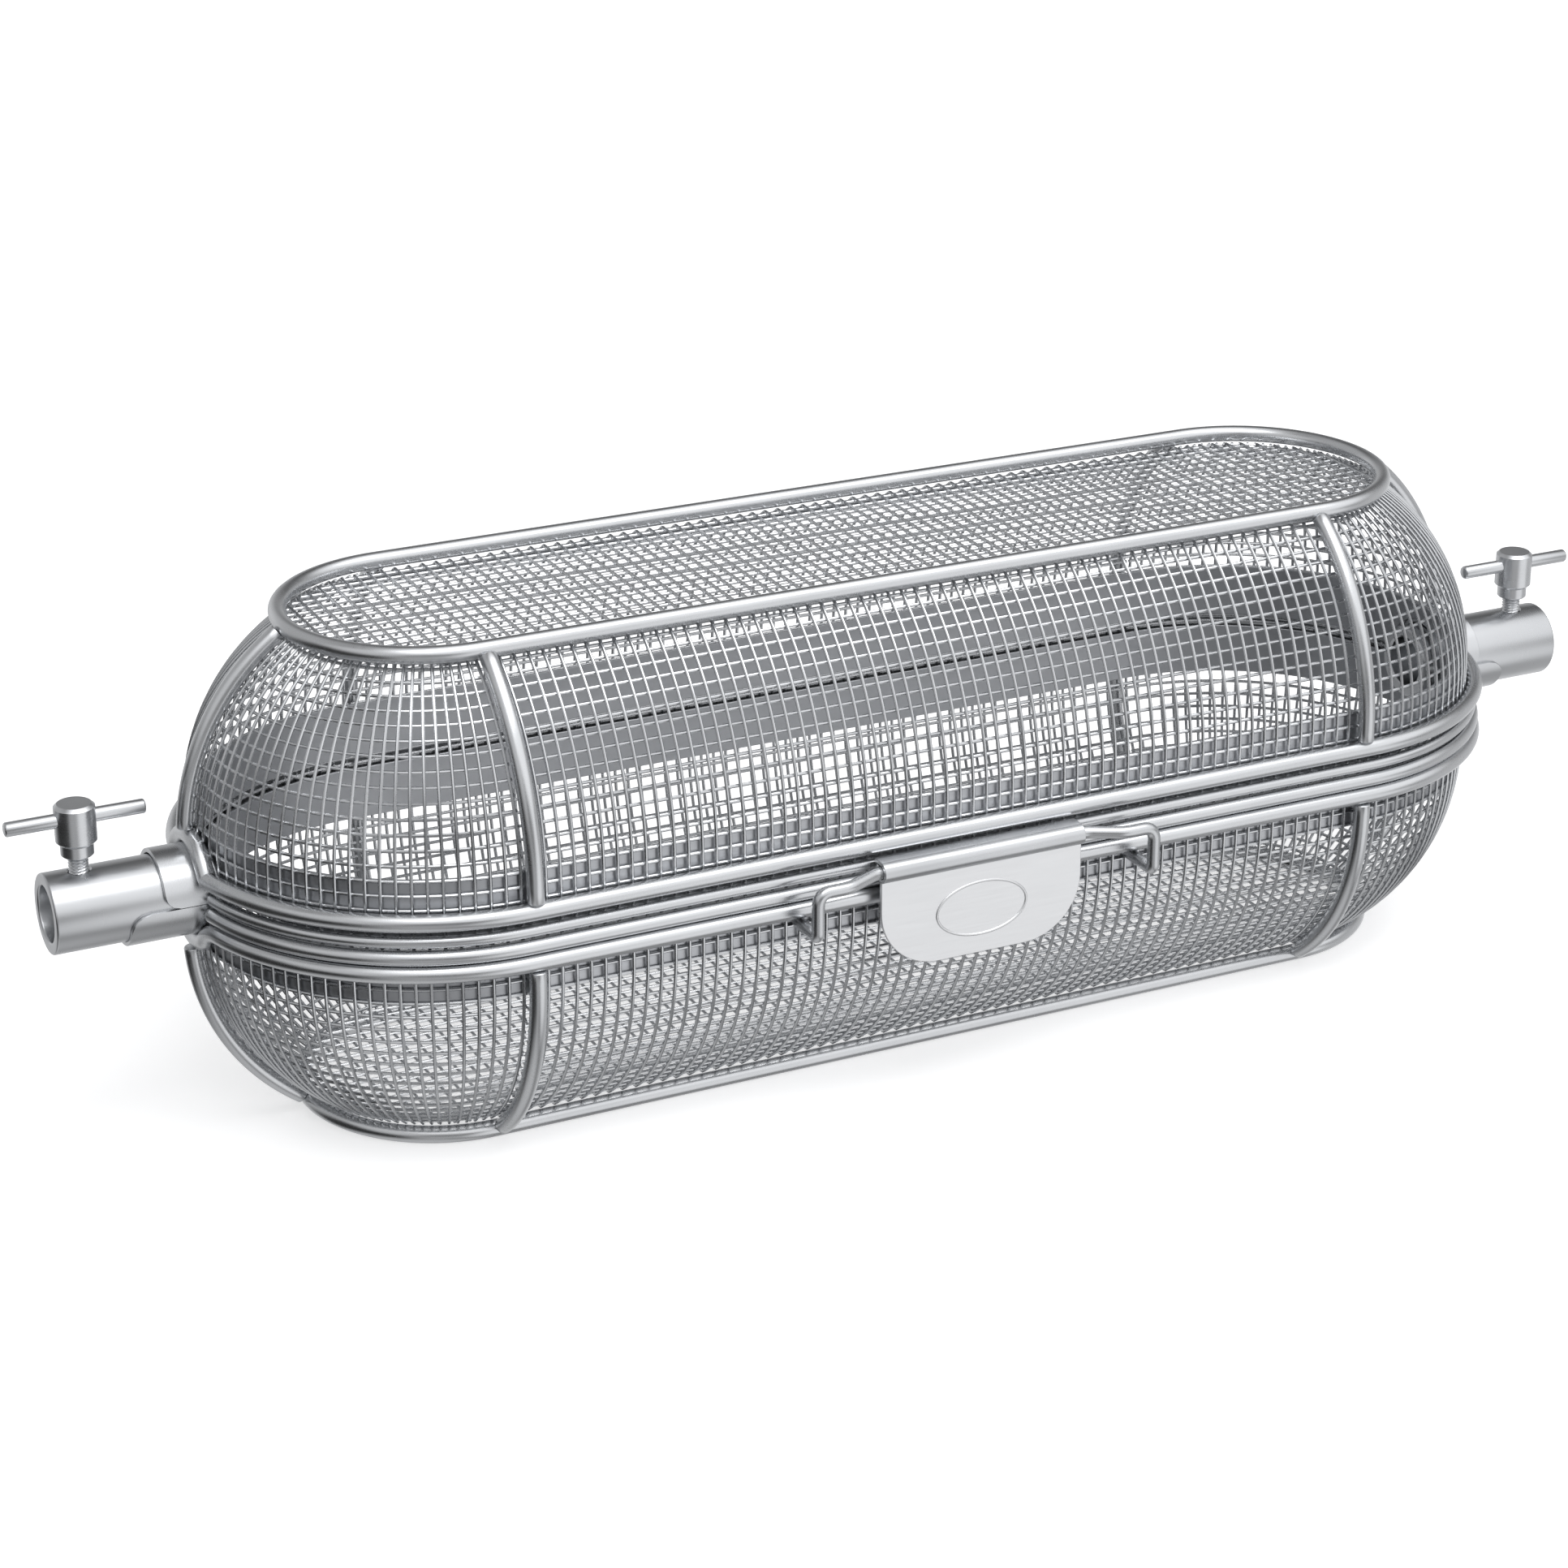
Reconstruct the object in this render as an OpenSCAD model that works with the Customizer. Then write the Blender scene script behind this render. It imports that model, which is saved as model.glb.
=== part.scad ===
// Rotisserie grill basket: two wire mesh halves on a spit axis, hinged at the back and latched in front.
// X runs along the spit, Y points to the hinge side and Z up. The origin is the middle of the spit axis.

/* [Basket] */
// Half the length of the straight sides
side_half = 117.5; // [90:0.5:150]
// Radius of the rim rods' centre line round the ends
rim_r = 63.5; // [60:0.5:70]
// Radius of the centre line of the top and bottom rings
ring_r = 35.7; // [32:0.1:38]
// Height of the rings' centre line above and below the spit axis
ring_z = 63; // [58:0.5:70]
// Height at which the side wall starts to curve in
bulge_z = 12; // [9:0.5:14]

/* [Rods and wires] */
// Diameter of the frame rods
rod_d = 4.4; // [4:0.1:5]
// Height of the rim rods' centre line above and below the spit axis
rim_z = 6.6; // [6.2:0.1:7]
// Diameter of the lid's lower wire
lid_wire_d = 3; // [2.6:0.1:3.2]
// Height of the lid's lower wire
lid_wire_z = 1.5; // [1.3:0.1:1.7]
// Diameter of the base's upper wire
base_wire_d = 3.8; // [3.4:0.1:4]
// Depth of the base's upper wire
base_wire_z = 2.45; // [2.3:0.05:2.6]
// Distance of the front and rear ribs from the middle
rib_x = 116; // [85:0.5:117.5]

/* [Walls] */
// Thickness of the wire mesh, two wires deep
mesh_t = 1.4; // [1.2:0.1:1.6]
// Height of the sheet band inside each half
band_h = 16; // [12:0.5:22]
// Thickness of the bands
band_t = 0.8; // [0.6:0.1:1.2]
// Height of the lid band's lower edge
lid_band_low = 1.4; // [0.2:0.1:3]
// Depth of the base band's upper edge
base_band_low = 2; // [0.2:0.1:3]
// Gap between the two halves
part_gap = 0.3; // [0.2:0.1:0.5]

/* [Spit tubes] */
// Outer radius of a spit tube
tube_r = 10; // [9.5:0.1:10.5]
// Inner radius of a spit tube
bore_r = 7; // [6:0.1:7.4]
// Outer end of a tube, from the middle
tube_out = 216.3; // [200:0.1:240]
// Inner end of a tube, from the middle
tube_in = 172; // [165:0.5:174]
// Thickness of the collar sheet
collar_t = 1.1; // [0.8:0.1:1.2]
// Inner end of the collars, from the middle
collar_in = 177.2; // [176.5:0.1:178]
// Outer end of the lid's collars
lid_collar_out = 189.9; // [186:0.1:190]
// Outer end of the base's collars
base_collar_out = 198.4; // [194:0.1:199]

/* [Clamp screws] */
// Distance of a clamp screw from the middle
screw_x = 207.5; // [206:0.1:209]
// Thread diameter
thread_d = 5; // [4:0.5:6]
// Lowest point of the thread above the spit axis
thread_low = 7.2; // [7.1:0.1:8]
// Bottom of the shoulder above the spit axis
shoulder_z = 14; // [13.5:0.1:15]
// Diameter of the shoulder
shoulder_d = 8; // [7.5:0.1:9]
// Bottom of the head above the spit axis
head_z = 17; // [16.5:0.1:18]
// Height of the head
head_h = 10.2; // [9:0.1:12]
// Diameter of the head
head_d = 10; // [9:0.1:12]
// Half the length of the tommy bar
bar_half = 17.1; // [14:0.1:17.2]
// Diameter of the tommy bar
bar_d = 3.6; // [3:0.1:4]

/* [Latch] */
// Half the width of the latch tab
tab_half = 28; // [22:0.5:30]
// Distance of the tab's roll from the spit axis
roll_y = 69; // [69:0.1:70]
// Height of the roll's axis
roll_z = 1.5; // [1.4:0.1:1.6]
// Diameter of the bail wire
bail_d = 3.2; // [3:0.1:3.3]
// Half the width of the bail
bail_half = 46.9; // [42:0.1:55]
// Distance of the bail's legs from the spit axis
bail_y = 73; // [73:0.1:75]
// Thickness of the tab's sheet
tab_t = 1; // [0.8:0.1:1]
// Lowest point of the tab
tab_low = -25.1; // [-30:0.1:-22]
// Radius of the tab's lower corners
tab_corner = 16; // [10:0.5:18]

/* [Hinges] */
// Distance of each hinge from the middle
hinge_x = 60; // [40:1:90]
// Diameter of the hinge pins
pin_d = 3; // [2.6:0.1:3.4]
// Thickness of the hinge leaves
leaf_t = 1; // [0.8:0.1:1.2]
// Length of each knuckle
knuckle_l = 7; // [5:0.5:9]

/* [Hidden] */
$fn = 96;

LEFT = -1;
RIGHT = 1;
FRONT = -1;
REAR = 1;

// Running and push clearances, the gap round a long curved sheet, and the lid's clearance over the tubes
run_gap = 0.05;
push_gap = 0.02;
wall_gap = 0.12;
lift_gap = 0.3;

rod_r = rod_d / 2;
// How far the ball at a sharp bend stands out from its rod
elbow_over = 0.05;
// The side wall follows one arc from the rim to the ring: its radius and centre at the ribs' centre line
wall_rise = ring_z - bulge_z;
wall_run = rim_r - ring_r;
arc_r = (wall_run * wall_run + wall_rise * wall_rise) / (2 * wall_run);
arc_x = rim_r - arc_r;
ring_angle = atan2(wall_rise, ring_r - arc_x);
// Angle that one rod radius takes along the arc
rod_angle = rod_r / arc_r * 180 / PI;

mesh_arc_r = arc_r - rod_r;
mesh_top = ring_z - rod_r;
band_r = rim_r - rod_r - mesh_t - wall_gap;
// The ends of the flat top and floor reach the outside of the curved wall
flat_r = arc_x + sqrt(pow(mesh_arc_r, 2) - pow(mesh_top - bulge_z, 2));
lid_wire_r = rim_r - rod_r + lid_wire_d / 2;
base_wire_r = rim_r - rod_r + base_wire_d / 2;

base_collar_r = tube_r + push_gap + collar_t;
lid_collar_r = tube_r + lift_gap + collar_t;
lid_corner = 3.5;
base_corner = 5;

screw_chamfer = 0.8;
socket_depth = 6;
bar_z = 23.4;

roll_gap = 0.15;
tab_roll_r = bail_d / 2 + roll_gap + tab_t;
lip_reach = 3.5;
jog_x = 9.3;
bail_stub = 1.2;
bail_drop = 0.3;
bend_r = 3.2;
bail_low = -rim_z - rod_r - bail_d / 2;
bail_end_y = rim_r - rod_r + push_gap;

leaf_y = rim_r + rod_r;
pin_y = leaf_y + pin_d / 2 + run_gap + leaf_t;
pin_z = -part_gap;
knuckle_r = pin_d / 2 + run_gap + leaf_t;
knuckle_gap = 0.3;
leaf_half = 1.5 * knuckle_l + knuckle_gap;
leaf_reach = rim_z + rod_r + 0.3;
pin_over = 1;

// A straight round rod from one point to another
module rod_between(a, b, d) {
    v = b - a;
    translate(a) rotate([0, acos(v.z / norm(v)), atan2(v.y, v.x)]) cylinder(d = d, h = norm(v));
}

// An arc of rod in the XY plane about the origin
module rod_arc(r, d, from, sweep) {
    rotate_extrude(start = from, angle = sweep) translate([r, 0]) circle(d = d);
}

// A closed loop of rod: two straight sides and two round ends
module rod_loop(r, d) {
    for (turn = [0, 180]) rotate([0, 0, turn]) {
        translate([0, -r, 0]) rotate([0, 90, 0]) cylinder(d = d, h = 2 * side_half, center = true);
        translate([side_half, 0, 0]) rod_arc(r, d, -90, 180);
    }
}

// The same loop left open over half_gap either side of the spit axis
module open_loop(r, d, half_gap) {
    gap_angle = asin(half_gap / r);
    for (turn = [0, 180]) rotate([0, 0, turn]) {
        translate([0, -r, 0]) rotate([0, 90, 0]) cylinder(d = d, h = 2 * side_half, center = true);
        translate([side_half, 0, 0]) rod_arc(r, d, -90, 90 - gap_angle);
        translate([-side_half, 0, 0]) rod_arc(r, d, 180 + gap_angle, 90 - gap_angle);
    }
}

// A rim rod: the open loop, closed at both ends by an arch that rides on a collar
module arched_rim(collar_r) {
    arch_r = collar_r + rod_r;
    elbow_y = sqrt(arch_r * arch_r - rim_z * rim_z);
    arch_x = side_half + sqrt(rim_r * rim_r - elbow_y * elbow_y);
    elbow_angle = asin(rim_z / arch_r);
    translate([0, 0, rim_z]) open_loop(rim_r, rod_d, elbow_y);
    for (side = [LEFT, RIGHT]) {
        translate([side * arch_x, 0, 0]) rotate([90, 0, 90])
            rod_arc(arch_r, rod_d, elbow_angle, 180 - 2 * elbow_angle);
        for (y = [-elbow_y, elbow_y]) translate([side * arch_x, y, rim_z])
            sphere(d = rod_d + 2 * elbow_over);
    }
}

// A curved rib in the XZ plane of the lid, from height low up to the ring
module rib(low) {
    from = low > bulge_z ? asin((low - bulge_z) / arc_r) : 0;
    if (low < bulge_z) translate([rim_r, 0, low]) cylinder(d = rod_d, h = bulge_z - low);
    translate([arc_x, 0, bulge_z]) rotate([90, 0, 0])
        rod_arc(arc_r, rod_d, from, ring_angle - rod_angle - from);
}

module side_rib(side, depth) {
    translate([side * rib_x, 0, 0]) rotate([0, 0, depth * 90]) rib(rim_z + rod_r);
}

module end_rib(side, collar_r) {
    translate([side * side_half, 0, 0]) rotate([0, 0, side == LEFT ? 180 : 0]) rib(collar_r + rod_d);
}

// Half section of everything inside the wall, moved in by inset
module wall_section(inset, low) {
    r = mesh_arc_r - inset;
    translate([0, low]) square([arc_x + r, bulge_z - low]);
    intersection() {
        translate([arc_x, bulge_z]) circle(r = r);
        translate([0, bulge_z]) square([arc_x + r, mesh_top - inset - bulge_z]);
    }
}

module wall_strip() {
    intersection() {
        difference() {
            wall_section(0, part_gap / 2);
            wall_section(mesh_t, -1);
        }
        square([rim_r, mesh_top - mesh_t]);
    }
}

// A straight side of wire mesh, with its outer face towards depth
module side_panel(depth) {
    rotate([90, 0, 90]) linear_extrude(2 * side_half, center = true)
        mirror([depth == FRONT ? 1 : 0, 0]) wall_strip();
}

// A round end of wire mesh, cut away for the arch over the collar
module end_panel(side, collar_r) {
    at_side(side) difference() {
        translate([side_half, 0, 0]) rotate_extrude(start = -90, angle = 180) wall_strip();
        spit_cut(collar_r + rod_d + wall_gap);
    }
}

module flat_panel() {
    translate([0, 0, mesh_top - mesh_t]) linear_extrude(mesh_t) stadium(flat_r);
}

module spit_cut(r) {
    rotate([0, 90, 0]) cylinder(r = r, h = 2 * tube_out, center = true);
}

module stadium(r) {
    square([2 * side_half, 2 * r], center = true);
    for (side = [LEFT, RIGHT]) translate([side * side_half, 0]) circle(r = r);
}

module band_half(low, notch_r) {
    difference() {
        translate([0, 0, low]) linear_extrude(band_h - low) difference() {
            stadium(band_r);
            stadium(band_r - band_t);
        }
        spit_cut(notch_r);
    }
}

// Upper half of a sleeve on the +X side, with its outer lower corners rounded
module half_collar(inner_r, out, corner) {
    long = out - collar_in;
    intersection() {
        translate([collar_in, 0, 0]) rotate([0, 90, 0]) linear_extrude(long) difference() {
            circle(r = inner_r + collar_t);
            circle(r = inner_r);
        }
        rotate([90, 0, 0]) linear_extrude(4 * tube_r, center = true) difference() {
            translate([collar_in, part_gap / 2]) square([long, 2 * tube_r]);
            translate([out - corner, part_gap / 2]) difference() {
                square(corner);
                translate([0, corner]) circle(r = corner);
            }
        }
    }
}

module at_side(side) {
    rotate([0, 0, side == LEFT ? 180 : 0]) children();
}

module below() {
    mirror([0, 0, 1]) children();
}

module base_mesh_side(depth) { color("silver") below() side_panel(depth); }
module base_mesh_end(side) { color("silver") below() end_panel(side, base_collar_r); }
module base_mesh_floor() { color("silver") below() flat_panel(); }
module base_band() { color("gainsboro") below() band_half(base_band_low, base_collar_r + wall_gap); }
module base_wire() {
    color("lightgray") translate([0, 0, -base_wire_z])
        open_loop(base_wire_r, base_wire_d, base_collar_r + wall_gap);
}
module base_rim() { color("lightgray") below() arched_rim(base_collar_r); }
module base_ring() { color("lightgray") translate([0, 0, -ring_z]) rod_loop(ring_r, rod_d); }
module base_side_rib(side, depth) { color("darkgray") below() side_rib(side, depth); }
module base_end_rib(side) { color("darkgray") below() end_rib(side, base_collar_r); }
module base_collar(side) {
    color("gainsboro") at_side(side) below() half_collar(tube_r + push_gap, base_collar_out, base_corner);
}

module lid_mesh_side(depth) { color("silver") side_panel(depth); }
module lid_mesh_end(side) { color("silver") end_panel(side, lid_collar_r); }
module lid_mesh_top() { color("silver") flat_panel(); }
module lid_band() { color("gainsboro") band_half(lid_band_low, lid_collar_r + wall_gap); }
module lid_wire() {
    color("lightgray") translate([0, 0, lid_wire_z])
        open_loop(lid_wire_r, lid_wire_d, lid_collar_r + wall_gap);
}
module lid_rim() { color("lightgray") arched_rim(lid_collar_r); }
module lid_ring() { color("lightgray") translate([0, 0, ring_z]) rod_loop(ring_r, rod_d); }
module lid_side_rib(side, depth) { color("darkgray") side_rib(side, depth); }
module lid_end_rib(side) { color("darkgray") end_rib(side, lid_collar_r); }
module lid_collar(side) {
    color("gainsboro") at_side(side) half_collar(tube_r + lift_gap, lid_collar_out, lid_corner);
}

// The spit tube has a chamfered outer end and a threaded hole for its clamp screw
module spit_tube(side) {
    chamfer = 0.6;
    color("silver") at_side(side) difference() {
        rotate([0, 90, 0]) rotate_extrude() polygon([
            [bore_r, tube_in], [tube_r, tube_in], [tube_r, tube_out - chamfer],
            [tube_r - chamfer, tube_out], [bore_r, tube_out]
        ]);
        translate([screw_x, 0, 0]) cylinder(d = thread_d + 2 * run_gap, h = 2 * tube_r);
    }
}

module screw_shank(side) {
    color("gray") translate([side * screw_x, 0, thread_low])
        cylinder(d = thread_d, h = shoulder_z + socket_depth - thread_low - run_gap);
}

// Head and shoulder in one turned piece, with a socket for the shank and a cross hole for the bar
module screw_head(side) {
    top = head_z + head_h;
    head_r = head_d / 2;
    socket_r = thread_d / 2 + run_gap;
    color("gainsboro") translate([side * screw_x, 0, 0]) difference() {
        rotate_extrude() polygon([
            [0, shoulder_z], [shoulder_d / 2, shoulder_z], [shoulder_d / 2, head_z],
            [head_r - screw_chamfer, head_z], [head_r, head_z + screw_chamfer],
            [head_r, top - screw_chamfer], [head_r - screw_chamfer, top], [0, top]
        ]);
        translate([0, 0, shoulder_z - 1]) cylinder(r = socket_r, h = socket_depth + 1);
        translate([0, 0, bar_z]) rotate([0, 90, 0])
            cylinder(d = bar_d + 2 * push_gap, h = 2 * head_d, center = true);
    }
}

module screw_bar(side) {
    chamfer = 0.5;
    bar_r = bar_d / 2;
    color("gainsboro") translate([side * screw_x, 0, bar_z]) rotate([0, 90, 0]) rotate_extrude() polygon([
        [0, -bar_half], [bar_r - chamfer, -bar_half], [bar_r, chamfer - bar_half],
        [bar_r, bar_half - chamfer], [bar_r - chamfer, bar_half], [0, bar_half]
    ]);
}

// One side of the bail: roll, stub, jog, bend, leg and the foot welded under the base's rim rod
module bail_side() {
    stub_x = tab_half + bail_stub;
    run_z = roll_z - bail_drop;
    corner_x = stub_x + jog_x;
    inner = [stub_x, -roll_y, roll_z];
    outer = [corner_x, -bail_y, run_z];
    foot = [bail_half, -bail_y, bail_low];
    rod_between([0, -roll_y, roll_z], inner, bail_d);
    rod_between(inner, outer, bail_d);
    rod_between(outer, [bail_half - bend_r, -bail_y, run_z], bail_d);
    translate([bail_half - bend_r, -bail_y, run_z - bend_r]) rotate([90, 0, 0]) rod_arc(bend_r, bail_d, 0, 90);
    rod_between([bail_half, -bail_y, run_z - bend_r], foot, bail_d);
    rod_between(foot, [bail_half, -bail_end_y, bail_low], bail_d);
    for (p = [inner, outer, foot]) translate(p) sphere(d = bail_d + 2 * elbow_over);
}

module latch_bail() {
    color("lightgray") {
        bail_side();
        mirror([1, 0, 0]) bail_side();
    }
}

// Flat tab with its upper edge rolled round the bail and a lip that reaches under the lid's rim rod
module latch_tab() {
    bottom = roll_z - tab_roll_r;
    color("whitesmoke") {
        difference() {
            union() {
                translate([0, -roll_y, roll_z]) rotate([0, 90, 0])
                    cylinder(r = tab_roll_r, h = 2 * tab_half, center = true);
                translate([-tab_half, -roll_y, roll_z + tab_roll_r - tab_t])
                    cube([2 * tab_half, lip_reach, tab_t]);
            }
            translate([0, -roll_y, roll_z]) rotate([0, 90, 0])
                cylinder(d = bail_d + 2 * roll_gap, h = 3 * tab_half, center = true);
        }
        translate([0, -roll_y, 0]) rotate([90, 0, 0]) linear_extrude(tab_t, center = true) difference() {
            translate([-tab_half, tab_low]) square([2 * tab_half, bottom + tab_t / 2 - tab_low]);
            for (turn = [0, 1]) mirror([turn, 0]) translate([tab_half - tab_corner, tab_low]) difference() {
                square(tab_corner);
                translate([0, tab_corner]) circle(r = tab_corner);
            }
        }
    }
}

// A rolled hinge leaf that goes up from the pin, with its knuckles at the offsets given
module hinge_leaf(bore, offsets) {
    clear_z = knuckle_r + knuckle_gap;
    difference() {
        union() {
            for (x = offsets) {
                translate([x, pin_y, pin_z]) rotate([0, 90, 0])
                    cylinder(r = knuckle_r, h = knuckle_l, center = true);
                translate([x - knuckle_l / 2, leaf_y, pin_z]) cube([knuckle_l, leaf_t, clear_z + 1]);
            }
            translate([-leaf_half, leaf_y, pin_z + clear_z])
                cube([2 * leaf_half, leaf_t, leaf_reach - pin_z - clear_z]);
        }
        translate([0, pin_y, pin_z]) rotate([0, 90, 0])
            cylinder(r = bore, h = 4 * leaf_half, center = true);
    }
}

module hinge_lid_leaf(side) {
    color("gainsboro") translate([side * hinge_x, 0, 0]) hinge_leaf(pin_d / 2 + run_gap, [0]);
}

module hinge_base_leaf(side) {
    offset_x = knuckle_l + knuckle_gap;
    color("gainsboro") translate([side * hinge_x, 0, 2 * pin_z]) below()
        hinge_leaf(pin_d / 2 + push_gap / 2, [-offset_x, offset_x]);
}

module hinge_pin(side) {
    color("gray") translate([side * hinge_x, pin_y, pin_z]) rotate([0, 90, 0])
        cylinder(d = pin_d, h = 2 * (leaf_half + pin_over), center = true);
}

base_mesh_side(FRONT);  // base_mesh_front
base_mesh_side(REAR);  // base_mesh_rear
base_mesh_end(LEFT);  // base_mesh_end_left
base_mesh_end(RIGHT);  // base_mesh_end_right
base_mesh_floor();
base_band();
base_wire();
base_rim();
base_ring();
base_side_rib(LEFT, FRONT);  // base_rib_front_left
base_side_rib(RIGHT, FRONT);  // base_rib_front_right
base_side_rib(LEFT, REAR);  // base_rib_rear_left
base_side_rib(RIGHT, REAR);  // base_rib_rear_right
base_end_rib(LEFT);  // base_rib_end_left
base_end_rib(RIGHT);  // base_rib_end_right
base_collar(LEFT);  // base_collar_left
base_collar(RIGHT);  // base_collar_right
spit_tube(LEFT);  // spit_tube_left
spit_tube(RIGHT);  // spit_tube_right
lid_mesh_side(FRONT);  // lid_mesh_front
lid_mesh_side(REAR);  // lid_mesh_rear
lid_mesh_end(LEFT);  // lid_mesh_end_left
lid_mesh_end(RIGHT);  // lid_mesh_end_right
lid_mesh_top();
lid_band();
lid_wire();
lid_rim();
lid_ring();
lid_side_rib(LEFT, FRONT);  // lid_rib_front_left
lid_side_rib(RIGHT, FRONT);  // lid_rib_front_right
lid_side_rib(LEFT, REAR);  // lid_rib_rear_left
lid_side_rib(RIGHT, REAR);  // lid_rib_rear_right
lid_end_rib(LEFT);  // lid_rib_end_left
lid_end_rib(RIGHT);  // lid_rib_end_right
lid_collar(LEFT);  // lid_collar_left
lid_collar(RIGHT);  // lid_collar_right
latch_bail();
latch_tab();
hinge_base_leaf(LEFT);  // hinge_base_leaf_left
hinge_base_leaf(RIGHT);  // hinge_base_leaf_right
hinge_lid_leaf(LEFT);  // hinge_lid_leaf_left
hinge_lid_leaf(RIGHT);  // hinge_lid_leaf_right
hinge_pin(LEFT);  // hinge_pin_left
hinge_pin(RIGHT);  // hinge_pin_right
screw_shank(LEFT);  // screw_shank_left
screw_shank(RIGHT);  // screw_shank_right
screw_head(LEFT);  // screw_head_left
screw_head(RIGHT);  // screw_head_right
screw_bar(LEFT);  // screw_bar_left
screw_bar(RIGHT);  // screw_bar_right
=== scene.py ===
"""Rotisserie grill basket: mesh, rods, collars, latch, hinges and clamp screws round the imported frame."""

import math

import bpy
import numpy as np
from mathutils import Matrix, Vector


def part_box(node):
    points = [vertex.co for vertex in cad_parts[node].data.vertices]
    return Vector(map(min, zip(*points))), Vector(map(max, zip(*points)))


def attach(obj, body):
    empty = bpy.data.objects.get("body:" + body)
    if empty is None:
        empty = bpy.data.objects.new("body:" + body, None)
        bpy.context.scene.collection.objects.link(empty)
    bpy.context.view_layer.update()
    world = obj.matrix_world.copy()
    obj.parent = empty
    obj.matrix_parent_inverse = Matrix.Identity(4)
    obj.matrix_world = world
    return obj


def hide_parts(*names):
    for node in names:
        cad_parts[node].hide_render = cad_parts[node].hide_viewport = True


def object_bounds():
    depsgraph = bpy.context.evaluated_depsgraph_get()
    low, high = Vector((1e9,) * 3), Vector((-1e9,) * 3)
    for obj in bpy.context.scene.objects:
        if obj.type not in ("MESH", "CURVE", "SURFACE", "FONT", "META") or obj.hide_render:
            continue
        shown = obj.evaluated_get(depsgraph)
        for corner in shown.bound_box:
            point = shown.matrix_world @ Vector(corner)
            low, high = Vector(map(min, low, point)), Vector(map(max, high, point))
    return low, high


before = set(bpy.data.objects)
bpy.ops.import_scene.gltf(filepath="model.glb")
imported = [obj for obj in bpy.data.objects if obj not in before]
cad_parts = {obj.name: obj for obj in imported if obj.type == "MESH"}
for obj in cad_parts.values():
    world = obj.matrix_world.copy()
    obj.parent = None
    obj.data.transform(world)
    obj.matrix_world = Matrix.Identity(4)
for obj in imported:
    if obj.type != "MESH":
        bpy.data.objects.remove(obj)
cad_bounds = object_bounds()

MM = 0.001
LEFT, RIGHT = -1, 1
FRONT, REAR = -1, 1
UP, DOWN = 1, -1
SIDES = {"left": LEFT, "right": RIGHT}
HALVES = {"lid": UP, "base": DOWN}

# ---------------------------------------------------------------- dimensions, in metres, from the frame

ring_lo, ring_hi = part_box("lid_ring")
ROD_R = (ring_hi.z - ring_lo.z) / 2
RING_R = ring_hi.y - ROD_R
RING_Z = ring_hi.z - ROD_R
SIDE_HALF = ring_hi.x - ring_hi.y
RIM_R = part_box("lid_rim")[1].y - ROD_R
RIM_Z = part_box("lid_rib_front_left")[0].z - ROD_R
RIB_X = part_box("lid_rib_front_right")[1].x - ROD_R
BULGE_Z = 12 * MM

lid_collar_lo, lid_collar_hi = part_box("lid_collar_right")
base_collar_lo, base_collar_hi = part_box("base_collar_right")
COLLAR_R = {UP: lid_collar_hi.z, DOWN: -base_collar_lo.z}
COLLAR_OUT = {UP: lid_collar_hi.x, DOWN: base_collar_hi.x}
COLLAR_CORNER = {UP: 3.5 * MM, DOWN: 5 * MM}
COLLAR_IN = lid_collar_lo.x
COLLAR_T = 1.1 * MM
SPLIT_Z = lid_collar_lo.z

# The side wall follows one arc from the rim to the ring
WALL_RISE = RING_Z - BULGE_Z
WALL_RUN = RIM_R - RING_R
ARC_R = (WALL_RUN**2 + WALL_RISE**2) / (2 * WALL_RUN)
ARC_X = RIM_R - ARC_R
RING_ANGLE = math.atan2(WALL_RISE, RING_R - ARC_X) - ROD_R / ARC_R

# Square wire mesh: the upright wires lie outside the level ones, and each crossing is welded
WIRE_R = 0.43 * MM
WIRE_OFFSET = 0.27 * MM
WIRE_SIDES = 8
WALL_CELLS = 63
END_CELLS = 51
ROW_CELLS = 18
TOP_CELLS = 18
SEAM = 0.8 * MM
CUT = 0.9 * MM
SPACING_NOISE = 0.012 * MM
SHEET_HALF = 0.7 * MM
MESH_R = ARC_R - ROD_R - SHEET_HALF
MESH_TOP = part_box("lid_mesh_top")[1].z - SHEET_HALF

tab_lo, tab_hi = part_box("latch_tab")
bail_lo, bail_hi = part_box("latch_bail")
BAIL_R = 1.6 * MM
TAB_T = 1 * MM
TAB_ROLL_R = BAIL_R + TAB_T + 0.15 * MM
ROLL_Y = -tab_lo.y - TAB_ROLL_R
ROLL_Z = tab_hi.z - TAB_ROLL_R

# Latch: how the bail bends, and the tab's outline and raised oval
BAIL_STUB = 1.2 * MM
BAIL_JOG = 9.3 * MM
BAIL_DROP = 0.3 * MM
BAIL_BENDS = [1.7, 3.4, 2.0, 2.0]
CURL_START, CURL_END = 90, 398
TAB_CORNER = 16 * MM
PLATE_LAP = 0.5 * MM
OVAL_HALF_W, OVAL_HALF_H = 12.5 * MM, 7.1 * MM
OVAL_RIDGE_R = 0.4 * MM
OVAL_SINK = 0.1 * MM

# Where the mesh wall's wires start and end, up from the parting line and down from the flat top
UPRIGHT_START = 0.2 * MM
FIRST_ROW = 0.9 * MM
LAST_ROW = 1.1 * MM
FLAT_GAP = 0.3 * MM
FLAT_ROWS = TOP_CELLS + 0.6

# Sheet parts, tubes and rim corners
NOTCH_GAP = 0.1 * MM
RIM_CORNER = {UP: 0.9 * MM, DOWN: 5.5 * MM}
BAND_T = 0.8 * MM
BAND_EDGE = 0.15 * MM
COLLAR_EDGE = 0.18 * MM
BORE_R = 7 * MM
TUBE_EDGE = 0.5 * MM
SCREW_HOLE_R = 2.6 * MM
SINK_DEPTH = 0.5 * MM
SINK_FLARE = 1.5 * MM

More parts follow.
